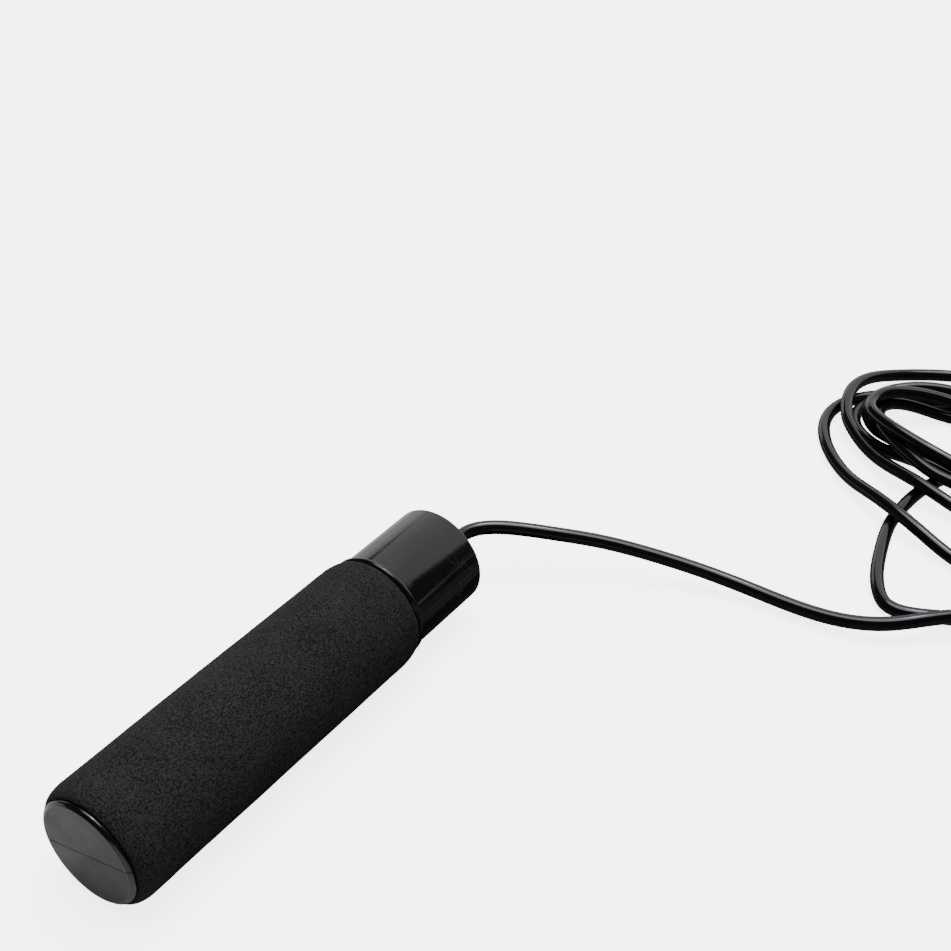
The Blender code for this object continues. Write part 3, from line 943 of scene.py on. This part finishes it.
def make_surfaces():
    return {
        "foam": foam_surface(),
        "shell": shell_surface(),
        "butt": butt_surface(),
        "cord": cord_surface(),
        "bush": plain_plastic("bush", (0.010, 0.010, 0.011), (0.022, 0.022, 0.024), 0.42),
        "steel": turned_metal("bearing steel", (0.55, 0.56, 0.58), (0.66, 0.67, 0.69), 0.16),
        "washer": turned_metal("washer steel", (0.48, 0.49, 0.51), (0.60, 0.61, 0.63), 0.30),
        "zinc": turned_metal("ferrule zinc", (0.44, 0.45, 0.47), (0.58, 0.59, 0.61), 0.38),
        "nylon": plain_plastic("cage nylon", (0.62, 0.60, 0.52), (0.74, 0.72, 0.64), 0.45),
    }


# Setting


def make_camera():
    data = bpy.data.cameras.new("camera")
    data.sensor_width = SENSOR
    data.lens = FOCAL_LENGTH
    data.shift_x, data.shift_y = SHIFT
    data.clip_start, data.clip_end = CLIP
    camera = bpy.data.objects.new("camera", data)
    camera.location = [c * MM for c in CAMERA_PLACE]
    camera.rotation_mode = "QUATERNION"
    camera.rotation_quaternion = Vector(CAMERA_LOOK).to_track_quat("-Z", "Y")
    bpy.context.scene.collection.objects.link(camera)
    bpy.context.scene.camera = camera


def direction(azimuth, height):
    """The unit vector at these degrees from +X and above the horizon."""
    a, h = math.radians(azimuth), math.radians(height)
    return (math.cos(a) * math.cos(h), math.sin(a) * math.cos(h), math.sin(h))


def make_sky():
    """The studio round the table: a dim room with two panels, a bluish ceiling and a small lamp."""
    world = bpy.data.worlds.new("studio")
    world.use_nodes = True
    bpy.context.scene.world = world
    tree = world.node_tree
    way = add_node(tree, "ShaderNodeTexCoord").outputs["Generated"]
    light = None
    for aim, edge, soft, colour in SKY_PATCHES:
        toward = add_node(tree, "ShaderNodeVectorMath", {0: way, 1: direction(*aim)}, operation="DOT_PRODUCT")
        share = add_node(
            tree,
            "ShaderNodeMapRange",
            {
                "Value": toward.outputs["Value"],
                "From Min": math.cos(math.radians(edge)),
                "From Max": math.cos(math.radians(edge - soft)),
            },
            interpolation_type="SMOOTHSTEP",
        ).outputs[0]
        made = add_node(tree, "ShaderNodeMix", {0: share}, data_type="RGBA")
        made.inputs[7].default_value = (*colour, 1)
        if light is None:
            made.inputs[6].default_value = (*ROOM_LIGHT, 1)
        else:
            tree.links.new(light, made.inputs[6])
        light = made.outputs[2]
    tree.links.new(light, tree.nodes["Background"].inputs["Color"])


def make_lamp(name, place, size, power):
    """A soft square light above the table, which gloss doesn't mirror."""
    data = bpy.data.lights.new(name, "AREA")
    data.size = size
    data.energy = power
    lamp = bpy.data.objects.new(name, data)
    lamp.location = place
    lamp.rotation_mode = "QUATERNION"
    lamp.rotation_quaternion = (-Vector(place)).to_track_quat("-Z", "Y")
    lamp.visible_glossy = False
    bpy.context.scene.collection.objects.link(lamp)


def make_floor():
    """Pale paper, which looks dimmer in what the gloss mirrors and in the light it gives back."""
    mesh = bpy.data.meshes.new("floor")
    half = FLOOR_SIZE / 2
    corners = [(-half, -half, 0), (half, -half, 0), (half, half, 0), (-half, half, 0)]
    mesh.from_pydata(corners, [], [(0, 1, 2, 3)])
    s = Surface("paper floor", Specular_IOR_Level=0.1)
    fine = s.grain(0.003, detail=4.0)
    seen = s.node("ShaderNodeLightPath").outputs["Is Camera Ray"]
    pale = s.mix(fine, (0.875, 0.875, 0.875), (0.89, 0.89, 0.89))
    s.link(s.mix(seen, FLOOR_DIM, pale), "Base Color")
    s.link(s.range(fine, 0.3, 0.7, 0.9, 0.98), "Roughness")
    s.shader.inputs["Emission Color"].default_value = (1, 1, 1, 1)
    s.link(s.math("MULTIPLY", seen, FLOOR_GLOW), "Emission Strength")
    mesh.materials.append(s.material)
    floor = bpy.data.objects.new("floor", mesh)
    floor.location.z = FLOOR_HEIGHT
    bpy.context.scene.collection.objects.link(floor)


def make_painted_reflection_card(low, high, glow):
    """A glowing card on the table that the pieces reflect and that nothing else sees: a painted reflection,
    which is a painted shadow on the table where the card is dark.
    """
    corners = [(low[0], low[1]), (high[0], low[1]), (high[0], high[1]), (low[0], high[1])]
    mesh = bpy.data.meshes.new("painted_reflection_card")
    mesh.from_pydata([(x, y, PAINTED_REFLECTION_HEIGHT) for x, y in corners], [], [(0, 1, 2, 3)])
    s = Surface("painted_reflection_card", Roughness=0.95, Specular_IOR_Level=0.0, Emission_Strength=1.0)
    s.link(s.mix(s.grain(0.004, detail=2.0), (0, 0, 0), (0.002, 0.002, 0.002)), "Base Color")
    s.link(s.mix(s.grain(0.020, detail=2.0), (glow * 0.97,) * 3, (glow * 1.03,) * 3), "Emission Color")
    mesh.materials.append(s.material)
    painted_reflection_card = bpy.data.objects.new("painted_reflection_card", mesh)
    for ray in ("camera", "diffuse", "shadow", "transmission"):
        setattr(painted_reflection_card, f"visible_{ray}", False)
    bpy.context.scene.collection.objects.link(painted_reflection_card)


def main():
    make_camera()
    make_sky()
    make_floor()
    # Painted reflections and painted shadow on the table, which only the gloss of the pieces shows
    for painted_reflection_card in PAINTED_REFLECTION_CARDS:
        make_painted_reflection_card(*painted_reflection_card)
    make_lamp("overhead", LAMP_PLACE, LAMP_SIZE, LAMP_POWER)
    surfaces = make_surfaces()
    ferrules = [make_handle(letter, surfaces) for letter in "ab"]
    make_jump_cord(surfaces["cord"])


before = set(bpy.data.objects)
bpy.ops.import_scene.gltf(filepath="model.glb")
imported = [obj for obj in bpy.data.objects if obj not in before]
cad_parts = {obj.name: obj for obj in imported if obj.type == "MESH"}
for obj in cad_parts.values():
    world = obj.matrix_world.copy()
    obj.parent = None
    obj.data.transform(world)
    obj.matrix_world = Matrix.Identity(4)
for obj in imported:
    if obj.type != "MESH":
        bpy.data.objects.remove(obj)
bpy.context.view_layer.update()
main()
